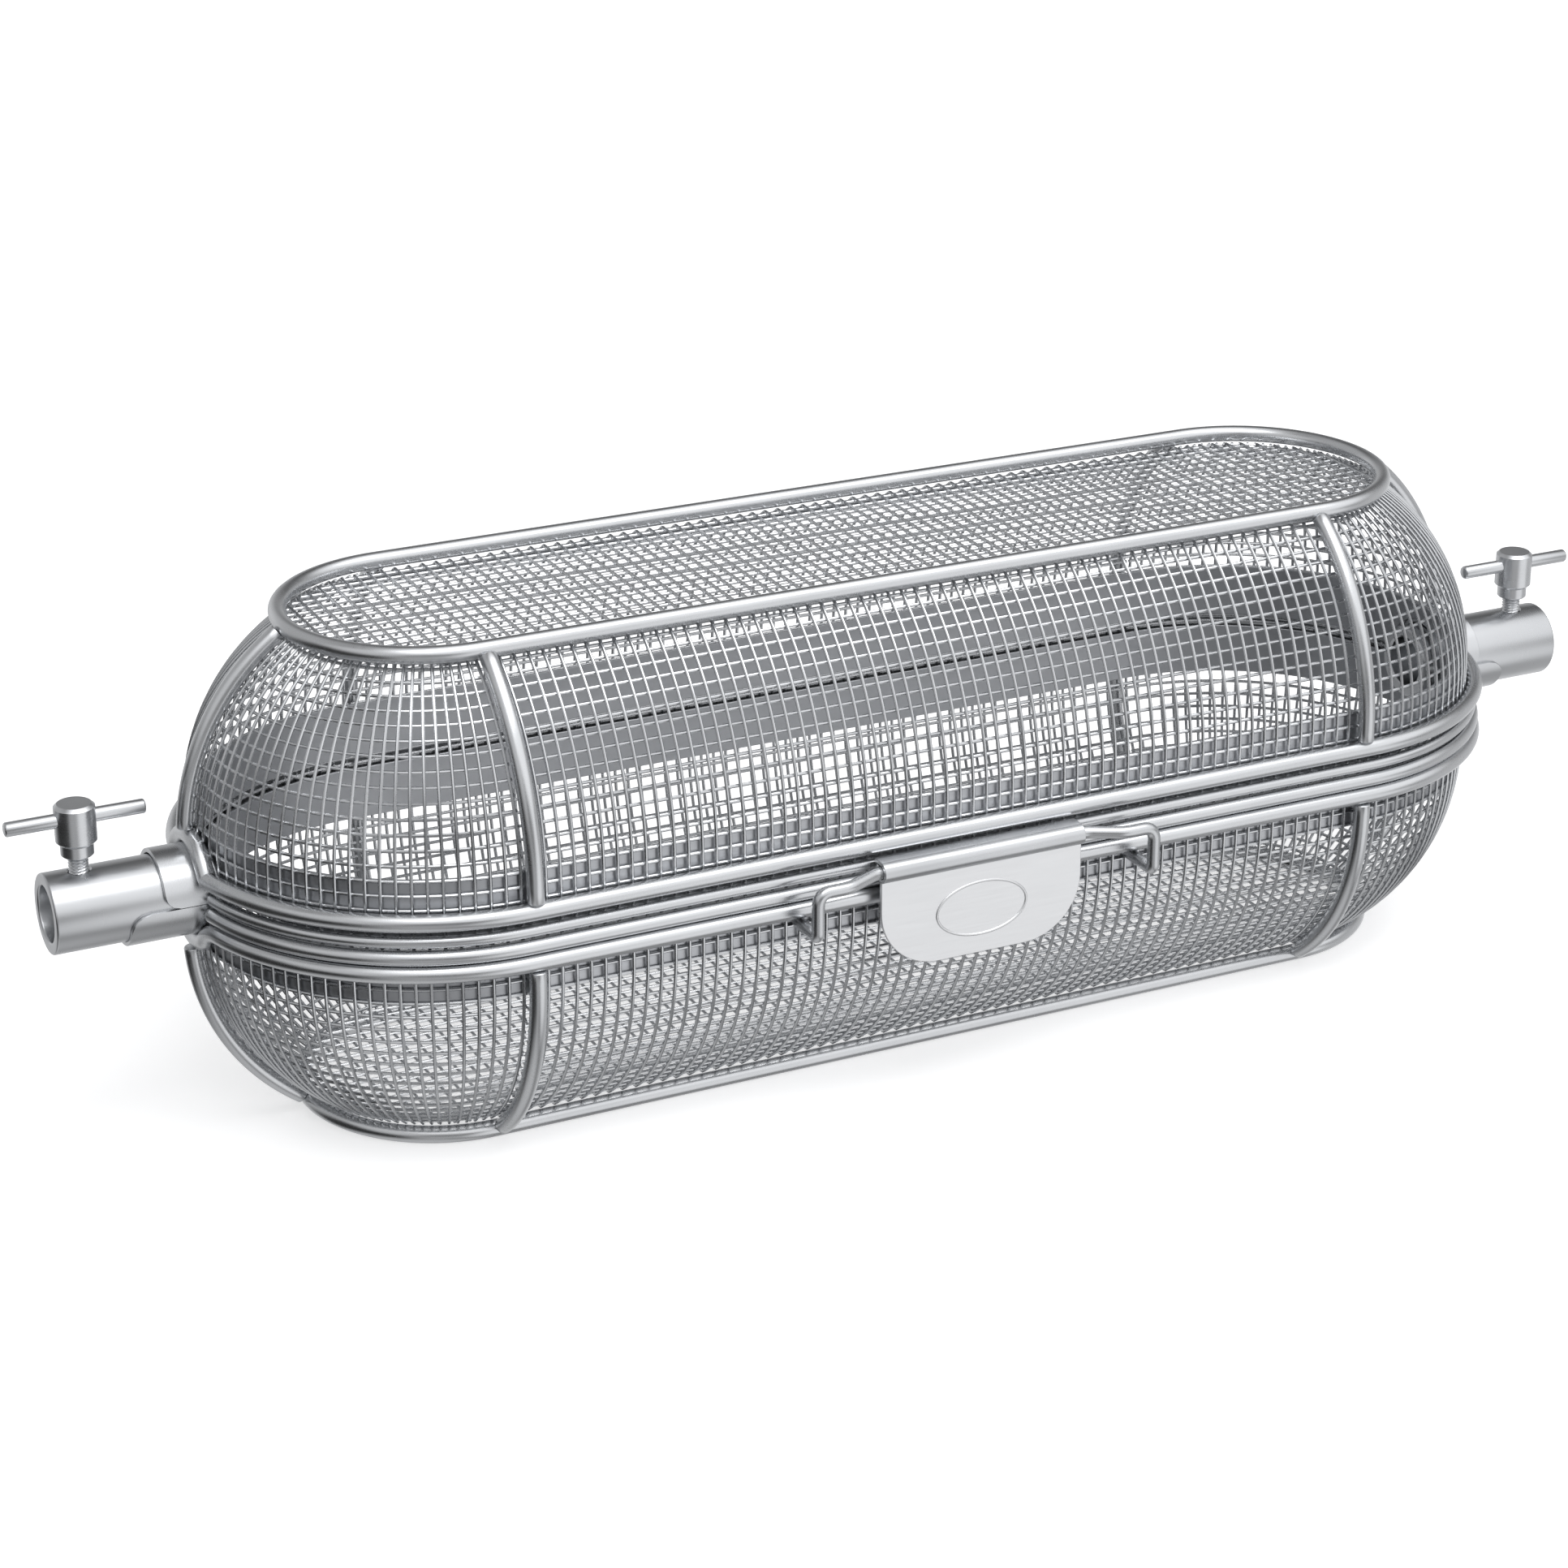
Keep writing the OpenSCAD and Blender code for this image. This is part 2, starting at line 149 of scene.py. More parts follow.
# Hinges
PIN_Z = -0.3 * MM
LEAF_T = 1 * MM
LEAF_CORNER = 1.5 * MM
LEAF_CLEAR = 0.3 * MM
KNUCKLE_L = 7 * MM
KNUCKLE_STEP = 7.3 * MM
KNUCKLE_START, KNUCKLE_END = 180, 478
WELD_X = 6 * MM
WELD_BELOW_END = 3.2 * MM
WELD_DOME = [(0, 1.3 * MM), (0.12 * MM, 1.15 * MM), (0.18 * MM, 0.6 * MM)]
PIN_DOME = 0.6

# Clamp screws
THREAD_PITCH = 0.8 * MM
THREAD_DEPTH = 0.45 * MM
THREAD_LEAD = 1.2 * MM
THREAD_TIP = 0.72
SHOULDER_R = 4 * MM
SHOULDER_EDGE = 0.3 * MM
NECK_Z = 17 * MM
HEAD_EDGE = 0.8 * MM
BAR_CLEAR = 0.14 * MM
BAR_EDGE = 0.45 * MM

rng = np.random.default_rng(7)

# ---------------------------------------------------------------- paths


def unit(v):
    return v / np.linalg.norm(v, axis=-1, keepdims=True)


def run(*points):
    return np.array(points, float)


def arc_xy(centre_x, radius, z, start, end, step=2.0):
    """Level arc about a centre on the spit axis, angles in degrees."""
    a = np.radians(np.linspace(start, end, max(3, round(abs(end - start) / step) + 1)))
    return np.stack([centre_x + radius * np.cos(a), radius * np.sin(a), np.full(len(a), z)], 1)


def stadium(radius, z):
    return np.vstack([arc_xy(SIDE_HALF, radius, z, -90, 90), arc_xy(-SIDE_HALF, radius, z, 90, 270)])


def half_loop(radius, z, gap, depth):
    """Front or rear half of a stadium, from the right to the left, open over gap either side of the axis."""
    from_axis = math.degrees(math.asin(gap / radius))
    right = arc_xy(SIDE_HALF, radius, z, from_axis, 90)
    left = arc_xy(-SIDE_HALF, radius, z, 90, 180 - from_axis)
    return np.vstack([right, left]) * (1, depth, 1)


def trim(path, head, tail):
    """The path without its first head and last tail metres."""
    steps = np.linalg.norm(np.diff(path, axis=0), axis=1)
    at = np.concatenate([[0], np.cumsum(steps)])
    inner = path[(at > head + 1e-7) & (at < at[-1] - tail - 1e-7)]
    first, last = (
        [np.interp(s, at, path[:, k]) for k in range(3)] for s in (head, at[-1] - tail)
    )
    return np.vstack([first, inner, last])


def joined(runs, reaches, steps=7):
    """One path through runs that meet end to end. Each meeting is rounded off over its reach.

    With as many reaches as runs the path is closed.
    """
    count = len(runs)
    closed = len(reaches) == count
    path = []
    for i, piece in enumerate(runs):
        head = reaches[i - 1] if closed or i > 0 else 0
        tail = reaches[i] if i < len(reaches) else 0
        path.append(trim(piece, head, tail))
        if tail:
            after = trim(runs[(i + 1) % count], tail, 0)[0]
            t = np.linspace(0, 1, steps + 2)[1:-1, None]
            corner, before = piece[-1], path[-1][-1]
            path.append((1 - t) ** 2 * before + 2 * t * (1 - t) * corner + t**2 * after)
    return np.vstack(path)


# ---------------------------------------------------------------- surfaces


class Shape:
    """Closed surfaces gathered into one mesh."""

    def __init__(self):
        self.verts = []
        self.faces = []
        self.count = 0

    def add(self, verts, *faces):
        self.verts.append(np.asarray(verts, float).reshape(-1, 3))
        self.faces += [np.asarray(f) + self.count for f in faces]
        self.count += len(self.verts[-1])
        return self

    def turned(self):
        """The same surfaces, with every face looking the other way."""
        self.faces = [f[:, ::-1] for f in self.faces]
        return self

    def flipped(self, scale):
        """Mirrored by a scale such as (1, 1, -1), with the faces turned to match."""
        self.verts = [v * scale for v in self.verts]
        return self.turned() if np.prod(scale) < 0 else self

    def moved(self, offset):
        self.verts = [v + offset for v in self.verts]
        return self


def ring_quads(rings, sides, closed=False):
    """Quads between neighbouring rings of corners."""
    i = np.arange(rings if closed else rings - 1)[:, None]
    j = np.arange(sides)[None, :]
    near, far = i * sides, (i + 1) % rings * sides
    step = (j + 1) % sides
    return np.stack([near + j, near + step, far + step, far + j], -1).reshape(-1, 4)


def caps(rings, sides):
    """One many-cornered face over each end."""
    first = np.arange(sides)[::-1]
    return np.stack([first, np.arange(sides) + (rings - 1) * sides])


def tube_frames(path, closed):
    """Directions in and out of each point and a sideways axis that doesn't twist along the path."""
    legs = unit(np.diff(path, axis=0, append=path[:1]))
    into = np.roll(legs, 1, axis=0)
    out = legs.copy()
    if not closed:
        into[0], out[-1] = legs[0], legs[-2]
    helper = (0, 0, 1) if abs(into[0][2]) < 0.9 else (1, 0, 0)
    across = unit(np.cross(into[0], helper))
    axes = []
    for a, b in zip(into, out):
        axes.append(across)
        across = unit(across - (a + b) * (across @ b) / (1 + a @ b))
    axes = np.array(axes)
    if closed:
        other = np.cross(into[0], axes[0])
        twist = math.atan2(across @ other, across @ axes[0])
        turn = -twist * np.arange(len(path))[:, None] / len(path)
        axes = axes * np.cos(turn) + np.cross(into, axes) * np.sin(turn)
    return into, out, axes


END_STYLES = {
    "flat": lambda r: [(0, 0.86 * r), (0.04 * r, 0.95 * r), (0.14 * r, r)],
    "round": lambda r: [(r * (1 - math.cos(a)), r * math.sin(a)) for a in np.radians([12, 35, 60, 90])],
}


def sweep(path, radius, sides=24, closed=False, end="flat"):
    """A round tube along the path, mitred at its bends."""
    into, out, axes = tube_frames(path, closed)
    a = np.arange(sides) * 2 * math.pi / sides
    circle = np.stack([np.cos(a), np.sin(a)], 1)
    if closed:
        radii = np.full(len(path), radius)
    else:
        tip = END_STYLES[end](radius)
        reach = tip[-1][0]
        body = trim(path, reach, reach)
        into, out, axes = tube_frames(body, False)
        head = [body[0] - into[0] * (reach - d) for d, _ in tip[:-1]]
        tail = [body[-1] + out[-1] * (reach - d) for d, _ in tip[:-1]][::-1]
        path = np.vstack([head, body, tail])
        extra = len(tip) - 1
        into = np.vstack([[into[0]] * extra, into, [out[-1]] * extra])
        out = np.vstack([[into[0]] * extra, out, [out[-1]] * extra])
        axes = np.vstack([[axes[0]] * extra, axes, [axes[-1]] * extra])
        small = [r for _, r in tip[:-1]]
        radii = np.concatenate([small, np.full(len(body), radius), small[::-1]])
    other = np.cross(into, axes)
    spokes = circle[None, :, :1] * axes[:, None] + circle[None, :, 1:] * other[:, None]
    mitre = unit(into + out)[:, None]
    slide = (spokes * mitre).sum(-1, keepdims=True) / (into[:, None] * mitre).sum(-1, keepdims=True)
    rings = path[:, None] + radii[:, None, None] * (spokes - into[:, None] * slide)
    faces = [ring_quads(len(path), sides, closed)]
    if not closed:
        faces.append(caps(len(path), sides))
    return Shape().add(rings, *faces)


def lathe(profile, axis, sides=48, closed=False):
    """A turned body. The profile is (distance along the axis, radius), and a closed one has a bore."""
    profile = np.array(profile, float)
    a = np.arange(sides) * 2 * math.pi / sides
    along = np.repeat(profile[:, :1], sides, 1)
    u, v = profile[:, 1:] * np.cos(a), profile[:, 1:] * np.sin(a)
    rings = np.stack([along, u, v] if axis == "x" else [u, v, along], -1)
    faces = [ring_quads(len(profile), sides, closed)]
    if not closed:
        faces.append(caps(len(profile), sides))
    return Shape().add(rings, *faces)


def strip(sections, closed=False):
    """A bar whose cross-section changes along its length."""
    sections = np.asarray(sections)
    count, sides = sections.shape[:2]
    faces = [ring_quads(count, sides, closed)]
    if not closed:
        faces.append(caps(count, sides))
    return Shape().add(sections, *faces)


def prism(outline, low, high, axis):
    """A flat outline, given anticlockwise, drawn out along an axis: (y, z) along x, or (x, z) along y."""
    outline = np.array(outline, float)
    first, second = outline[:, 0], outline[:, 1]
    order = {"x": lambda at: [at, first, second], "y": lambda at: [first, at, second]}[axis]
    ends = (low, high) if axis == "x" else (high, low)
    return strip([np.stack(order(np.full(len(outline), at)), 1) for at in ends])


def arc_points(centre, radius, start, end, step=7.5):
    a = np.radians(np.linspace(start, end, max(2, round(abs(end - start) / step) + 1)))
    return [(centre[0] + radius * math.cos(t), centre[1] + radius * math.sin(t)) for t in a]


def box_outline(x_low, x_high, z_low, z_high, corner):
    """A rectangle with round corners, anticlockwise."""
    points = []
    for x, z, start in (
        (x_high - corner, z_low + corner, -90),
        (x_high - corner, z_high - corner, 0),
        (x_low + corner, z_high - corner, 90),
        (x_low + corner, z_low + corner, 180),
    ):
        points += arc_points((x, z), corner, start, start + 90, 15)
    return points


def mesh_of(name, shapes):
    """One Blender mesh of a list of shapes."""
    whole = Shape()
    for shape in shapes:
        whole.verts += shape.verts
        whole.faces += [f + whole.count for f in shape.faces]
        whole.count += shape.count
    verts = np.vstack(whole.verts).astype(np.float32)
    corners = np.concatenate([f.ravel() for f in whole.faces]).astype(np.int32)
    sizes = np.concatenate([np.full(len(f), f.shape[1]) for f in whole.faces])
    starts = np.concatenate([[0], np.cumsum(sizes)[:-1]]).astype(np.int32)
    mesh = bpy.data.meshes.new(name)
    mesh.vertices.add(len(verts))
    mesh.vertices.foreach_set("co", verts.ravel())
    mesh.loops.add(len(corners))
    mesh.loops.foreach_set("vertex_index", corners)
    mesh.polygons.add(len(sizes))
    mesh.polygons.foreach_set("loop_start", starts)
    mesh.update(calc_edges=True)
    mesh.validate()
    return mesh


def cut(made, drill):
    """Takes the closed shape of a drill out of an object's mesh."""
    tool = bpy.data.objects.new("drill", mesh_of("drill", [drill]))
    bpy.context.scene.collection.objects.link(tool)
    mod = made.modifiers.new("cut", "BOOLEAN")
    mod.object = tool
    mod.operation = "DIFFERENCE"
    mod.solver = "EXACT"
    view = bpy.context.evaluated_depsgraph_get()
    mesh = bpy.data.meshes.new_from_object(made.evaluated_get(view))
    made.modifiers.clear()
    made.data = mesh
    bpy.data.objects.remove(tool)


def piece(name, shapes, material, body, slot, nodes, sharp=40, bevel=0, drill=None):
    """Makes one object of the shapes, which rides on the body and stands for the nodes."""
    mesh = mesh_of(name, shapes if isinstance(shapes, list) else [shapes])
    made = bpy.data.objects.new(name, mesh)
    bpy.context.scene.collection.objects.link(made)
    if drill:
        cut(made, drill)
    made.data.shade_smooth()
    made.data.set_sharp_from_angle(angle=math.radians(sharp))
    made.data.materials.clear()
    made.data.materials.append(material)
    if bevel:
        mod = made.modifiers.new("edge", "BEVEL")
        mod.width = bevel
        mod.segments = 2
        mod.limit_method = "ANGLE"
        mod.angle_limit = math.radians(50)
    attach(made, body)
    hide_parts(*nodes)
    return made


# ---------------------------------------------------------------- materials


def steel(name, dark, light, rough, grain, mottle, stretch=(1, 1, 1), bump=0.12, painted_edge_highlight=0.06):
    """Satin stainless steel: mottled colour, varied gloss, fine grain, and a painted highlight that
    brightens convex edges.
    """
    mat = bpy.data.materials.new(name)
    mat.use_nodes = True
    nodes, links = mat.node_tree.nodes, mat.node_tree.links
    nodes.clear()
    output = nodes.new("ShaderNodeOutputMaterial")
    shader = nodes.new("ShaderNodeBsdfPrincipled")
    shader.inputs["Metallic"].default_value = 1
    links.new(shader.outputs["BSDF"], output.inputs["Surface"])
    coords = nodes.new("ShaderNodeTexCoord")

    def noise(scale, detail, vector):
        made = nodes.new("ShaderNodeTexNoise")
        made.inputs["Scale"].default_value = scale
        made.inputs["Detail"].default_value = detail
        links.new(vector, made.inputs["Vector"])
        return made.outputs["Fac"]

    def spread(value, low, high, to_low, to_high):
        made = nodes.new("ShaderNodeMapRange")
        for key, number in (
            ("From Min", low), ("From Max", high), ("To Min", to_low), ("To Max", to_high)
        ):
            made.inputs[key].default_value = number
        links.new(value, made.inputs["Value"])
        return made.outputs["Result"]

    mapping = nodes.new("ShaderNodeMapping")
    mapping.inputs["Scale"].default_value = stretch
    links.new(coords.outputs["Object"], mapping.inputs["Vector"])
    lines = noise(grain, 3, mapping.outputs["Vector"])
    patches = noise(mottle, 4, coords.outputs["Object"])

    ramp = nodes.new("ShaderNodeValToRGB")
    ramp.color_ramp.elements[0].position = 0.3
    ramp.color_ramp.elements[0].color = (*dark, 1)
    ramp.color_ramp.elements[1].position = 0.7
    ramp.color_ramp.elements[1].color = (*light, 1)
    links.new(patches, ramp.inputs["Fac"])

    # Painted highlight: convex edges, found by pointiness, are lightened in the base colour as if catching
    # the light.
    edge = nodes.new("ShaderNodeNewGeometry")
    edge_highlight = spread(edge.outputs["Pointiness"], 0.53, 0.62, 0, painted_edge_highlight)
    brighter = nodes.new("ShaderNodeMixRGB")
    brighter.blend_type = "ADD"
    links.new(edge_highlight, brighter.inputs["Fac"])
    links.new(ramp.outputs["Color"], brighter.inputs["Color1"])
    brighter.inputs["Color2"].default_value = (1, 1, 1, 1)
    links.new(brighter.outputs["Color"], shader.inputs["Base Color"])

    gloss = nodes.new("ShaderNodeMath")
    gloss.operation = "ADD"
    links.new(spread(lines, 0.3, 0.7, rough[0], rough[1]), gloss.inputs[0])
    links.new(spread(patches, 0.3, 0.7, -0.03, 0.03), gloss.inputs[1])
    links.new(gloss.outputs["Value"], shader.inputs["Roughness"])

    relief = nodes.new("ShaderNodeBump")
    relief.inputs["Strength"].default_value = bump
    relief.inputs["Distance"].default_value = 0.00005
    links.new(lines, relief.inputs["Height"])
    links.new(relief.outputs["Normal"], shader.inputs["Normal"])
    return mat


mesh_steel = steel(
    "mesh_wire", (0.55, 0.56, 0.575), (0.64, 0.65, 0.665), (0.22, 0.30), 900, 60, bump=0.03
)
band_steel = steel(
    "band_sheet", (0.44, 0.45, 0.47), (0.50, 0.51, 0.53), (0.36, 0.44), 260, 25, (0.2, 0.2, 6), 0.03
)
rod_steel = steel(
    "rod_steel", (0.62, 0.63, 0.645), (0.69, 0.70, 0.715), (0.255, 0.29), 900, 35, bump=0.012
)
tube_steel = steel(
    "tube_steel", (0.58, 0.59, 0.605), (0.63, 0.64, 0.655), (0.275, 0.295), 300, 30, (8, 0.4, 0.4), 0.008
)
# Painted light: the tab plate's steel is a much lighter copy of the roll's sheet steel, standing for the
# front light on the plate.
tab_steel_painted_light = steel(
    "tab_sheet", (0.80, 0.805, 0.815), (0.86, 0.865, 0.875), (0.36, 0.44), 260, 30, (0.3, 1, 8), 0.03
)
roll_steel = steel(
    "tab_roll", (0.56, 0.57, 0.585), (0.64, 0.65, 0.665), (0.24, 0.30), 260, 30, (0.3, 1, 8), 0.02
)
bail_steel = steel(
    "bail_wire", (0.57, 0.58, 0.595), (0.66, 0.67, 0.685), (0.25, 0.29), 900, 40, bump=0.012
)
hinge_steel = steel(
    "hinge_steel", (0.52, 0.53, 0.545), (0.62, 0.63, 0.645), (0.28, 0.36), 260, 45, (0.4, 1, 8), 0.04
)
screw_steel = steel(
    "screw_steel", (0.62, 0.63, 0.645), (0.70, 0.71, 0.725), (0.27, 0.31), 500, 60, (0.6, 0.6, 5), 0.01
)

# ---------------------------------------------------------------- wire mesh


def wire(points, normals, sideways):
    """A fine wire through the points, with closed ends."""
    a = (np.arange(WIRE_SIDES) + 0.5) * 2 * math.pi / WIRE_SIDES
    u = np.cos(a)[None, :, None] * sideways[:, None]
    v = np.sin(a)[None, :, None] * normals[:, None]
    rings = points[:, None] + WIRE_R * (u + v)
    return Shape().add(rings, ring_quads(len(points), WIRE_SIDES), caps(len(points), WIRE_SIDES))


def stretches(keep):
    """Slices of the stretches where keep is true, each at least two points long."""
    edges = np.flatnonzero(np.diff(np.concatenate([[False], keep, [False]]).astype(int)))
    return [slice(a, b) for a, b in zip(edges[::2], edges[1::2]) if b - a > 1]


def profile(length):
    """Distance out, height and outward lean of the mesh wall, that far up from the parting line."""
    lean = np.clip((length - BULGE_Z) / MESH_R, 0, None)
    out = ARC_X + MESH_R * np.cos(lean)
    height = np.minimum(length, BULGE_Z) + MESH_R * np.sin(lean)
    return out, height, lean


def wall_length():
    """Length of the wall's profile, up to the flat top."""
    return BULGE_Z + MESH_R * math.asin((MESH_TOP - BULGE_Z) / MESH_R)


def straight_wall(depth):
    """Gives the place of a point of the straight wall, and the wall's outward direction there."""

    def place(around, length):
        out, height, lean = profile(length)
        flat = np.zeros_like(around + out)
        points = np.stack([around + flat, depth * out + flat, height + flat], -1)
        normals = np.stack([flat, depth * np.cos(lean) + flat, np.sin(lean) + flat], -1)
        return points, normals

    return place


def round_wall(side):
    """The same for a round end. around runs along the rim from the front seam to the rear one."""
    rim = profile(0.0)[0]
    quarter = rim * math.pi / 2

    def place(around, length):
        out, height, lean = profile(length)
        turn = np.clip(around, -quarter, quarter) / rim
        stub = np.abs(around) - np.abs(turn) * rim
        flat = np.zeros_like(turn + out)
        x = side * (SIDE_HALF + out * np.cos(turn) - stub) + flat
        points = np.stack([x, out * np.sin(turn) + flat, height + flat], -1)
        level = np.cos(lean)
        normals = np.stack(
            [side * level * np.cos(turn) + flat, level * np.sin(turn) + flat, np.sin(lean) + flat], -1
        )
        return points, normals

    return place


def mesh_wall(place, low, high, cells, notch):
    """Upright and level wires of a wall between two places round the rim, open over the spit notch."""
    length = wall_length()
    first, last = FIRST_ROW, length - LAST_ROW
    rows = np.linspace(first, last, ROW_CELLS + 1)
    columns = np.linspace(low, high, cells + 1)
    shapes = []

    def lay(around, up, offset):
        points, normals = place(around, up)
        clear = np.hypot(points[:, 1], points[:, 2]) > notch
        sideways = np.cross(unit(np.gradient(points, axis=0)), normals)
        points = points + offset * normals
        for part in stretches(clear):
            shapes.append(wire(points[part], normals[part], sideways[part]))

    climb = np.concatenate([[UPRIGHT_START], np.linspace(first, last, 2 * ROW_CELLS + 1), [length]])
    for x in columns + rng.normal(0, SPACING_NOISE, cells + 1):
        lay(np.full(len(climb), x), climb, WIRE_OFFSET)
    reach = np.concatenate([[low - CUT], np.linspace(low, high, 2 * cells + 1), [high + CUT]])
    for up in rows + rng.normal(0, SPACING_NOISE, ROW_CELLS + 1):
        lay(reach, np.full(len(reach), up), -WIRE_OFFSET)
    return shapes


def mesh_flat():
    """Flat stadium of wires that run along and across, cut to fit inside the ring."""
    radius = profile(wall_length())[0] - FLAT_GAP
    pitch = 2 * RIB_X / WALL_CELLS
    row_pitch = 2 * radius / FLAT_ROWS
    shapes = []

    def lay(start, end, normal):
        points = np.array([start, end])
        normals = np.tile(normal, (2, 1))
        shapes.append(wire(points, normals, np.cross(unit(points[1] - points[0])[None], normals)))

    for j in range(TOP_CELLS + 1):
        y = (j - TOP_CELLS / 2) * row_pitch + rng.normal(0, SPACING_NOISE)
        reach = SIDE_HALF + math.sqrt(radius**2 - y**2)
        z = MESH_TOP - WIRE_OFFSET
        lay((-reach, y, z), (reach, y, z), (0, 0, 1))
    most = int((SIDE_HALF + radius - RIB_X) / pitch)
    for i in range(-most, WALL_CELLS + most + 1):
        x = -RIB_X + i * pitch + rng.normal(0, SPACING_NOISE)
        beyond = max(0, abs(x) - SIDE_HALF)
        reach = math.sqrt(max(radius**2 - beyond**2, MM**2))
        z = MESH_TOP + WIRE_OFFSET
        lay((x, -reach, z), (x, reach, z), (0, 0, 1))
    return shapes


def make_mesh(half, up):
    """The five mesh panels of one half."""
    notch = COLLAR_R[up] + ROD_R
    panels = {"top" if up == UP else "floor": mesh_flat()}
    for name, depth in (("front", FRONT), ("rear", REAR)):
        panels[name] = mesh_wall(straight_wall(depth), -RIB_X, RIB_X, WALL_CELLS, notch)
    stub = SIDE_HALF - RIB_X - CUT - SEAM
    edge = profile(0.0)[0] * math.pi / 2 + stub - CUT
    for name, side in SIDES.items():
        panels["end_" + name] = mesh_wall(round_wall(side), -edge, edge, END_CELLS, notch)
    for name, shapes in panels.items():
        shapes = [shape.flipped((1, 1, up)) for shape in shapes]
        node = f"{half}_mesh_{name}"
        piece(node + "_wires", shapes, mesh_steel, half, "mesh_wire", [node])


# ---------------------------------------------------------------- frame rods


def rim_path(up, corner):
    """The rim rod: front and rear halves, and at each end an arch over the collar."""
    arch_r = COLLAR_R[up] + ROD_R
    elbow_y = math.sqrt(arch_r**2 - RIM_Z**2)
    arch_x = SIDE_HALF + math.sqrt(RIM_R**2 - elbow_y**2)
    a = np.linspace(math.asin(RIM_Z / arch_r), math.pi - math.asin(RIM_Z / arch_r), 33)
    arch = np.stack([np.full(len(a), arch_x), arch_r * np.cos(a), arch_r * np.sin(a)], 1)
    front = half_loop(RIM_R, RIM_Z, elbow_y, FRONT)
    rear = half_loop(RIM_R, RIM_Z, elbow_y, REAR)[::-1]
    left = (arch * (-1, 1, 1))[::-1]
    return joined([front, left, rear, arch], [corner] * 4)


def rib_shape(turn, at_x, low):
    """A curved rib that stands on the rim rod and meets the ring, turned about the upright axis."""
    a = np.linspace(max(0, math.asin(max(0, low - BULGE_Z) / ARC_R)), RING_ANGLE, 25)
    curve = np.stack([ARC_X + ARC_R * np.cos(a), np.zeros(25), BULGE_Z + ARC_R * np.sin(a)], 1)
    foot = run((RIM_R, 0, low)) if low < BULGE_Z else np.empty((0, 3))
    spin = np.array(Matrix.Rotation(math.radians(turn), 3, "Z"))
    path = np.vstack([foot, curve]) @ spin.T + (at_x, 0, 0)
    return sweep(path, ROD_R)


def make_rods(half, up):
    """Rim, ring, ribs and the thin wire of one half."""

    def make(name, shape):
        shape.flipped((1, 1, up))
        piece(f"{half}_{name}_rod", shape, rod_steel, half, "rod_steel", [f"{half}_{name}"])

    make("rim", sweep(rim_path(up, RIM_CORNER[up]), ROD_R, closed=True))
    make("ring", sweep(stadium(RING_R, RING_Z), ROD_R, closed=True))
    for side_name, side in SIDES.items():
        for depth_name, turn in (("front", -90), ("rear", 90)):
            make(f"rib_{depth_name}_{side_name}", rib_shape(turn, side * RIB_X, RIM_Z + ROD_R))
        turn = 180 if side == LEFT else 0
        low = COLLAR_R[up] + 2 * ROD_R
        make(f"rib_end_{side_name}", rib_shape(turn, side * SIDE_HALF, low))
    low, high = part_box(half + "_wire")
    wire_r = (high.z - low.z) / 2
    gap = COLLAR_R[up] + NOTCH_GAP
    loops = [
        sweep(half_loop(high.y - wire_r, (high.z + low.z) / 2, gap, depth), wire_r, end="round")
        for depth in (FRONT, REAR)
    ]
    piece(half + "_wire_rod", loops, rod_steel, half, "rod_steel", [half + "_wire"])


# ---------------------------------------------------------------- sheet parts and tubes


def section(a, b, inner, outer, across, up, edge):
    """Corners of a bar's section, a to b one way and inner to outer the other, with broken edges."""
    corners = []
    for x, y in (
        (a + edge, inner), (b - edge, inner), (b, inner + edge), (b, outer - edge),
        (b - edge, outer), (a + edge, outer), (a, outer - edge), (a, inner + edge),
    ):
        corners.append(np.array(across) * x + np.array(up) * y)
    return corners


def make_band(half, up):
    """The sheet band inside the rim, cut away over the spit notch."""
    low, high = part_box(half + "_band")
    bottom, top = min(abs(low.z), abs(high.z)), max(abs(low.z), abs(high.z))
    outer = high.y
    notch = COLLAR_R[up] + NOTCH_GAP
    sections = []
    for side in (RIGHT, LEFT):
        for degrees in np.arange(-90, 90.01, 1.0):
            a = math.radians(degrees if side == RIGHT else degrees + 180)
            out = (math.cos(a), math.sin(a), 0)
            y = outer * math.sin(a)
            from_z = max(bottom, math.sqrt(max(0, notch**2 - y**2)))
            corners = section(from_z, top, outer - BAND_T, outer, (0, 0, 1), out, BAND_EDGE)
            sections.append(np.array(corners) + (side * SIDE_HALF, 0, 0))
    shape = strip(sections, closed=True).flipped((1, 1, up)).turned()
    piece(half + "_band_sheet", shape, band_steel, half, "band_sheet", [half + "_band"])


def make_collar(half, up, side_name, side):
    """Half a sleeve, with the outer corners rounded off where it meets the other half."""
    outer, corner = COLLAR_R[up], COLLAR_CORNER[up]
    start = math.asin(SPLIT_Z / outer)
    sections = []
    for a in np.linspace(start, math.pi - start, 61):
        rise = max(0, outer * math.sin(a) - SPLIT_Z)
        short = corner - math.sqrt(corner**2 - (corner - rise) ** 2) if rise < corner else 0
        end = COLLAR_OUT[up] - short
        out = (0, math.cos(a), math.sin(a))
        sections.append(
            section(COLLAR_IN, end, outer - COLLAR_T, outer, (1, 0, 0), out, COLLAR_EDGE)
        )
    shape = strip(sections).flipped((side, 1, up))
    name = f"{half}_collar_{side_name}"
    piece(name + "_sleeve", shape, tube_steel, half, "tube_steel", [name])


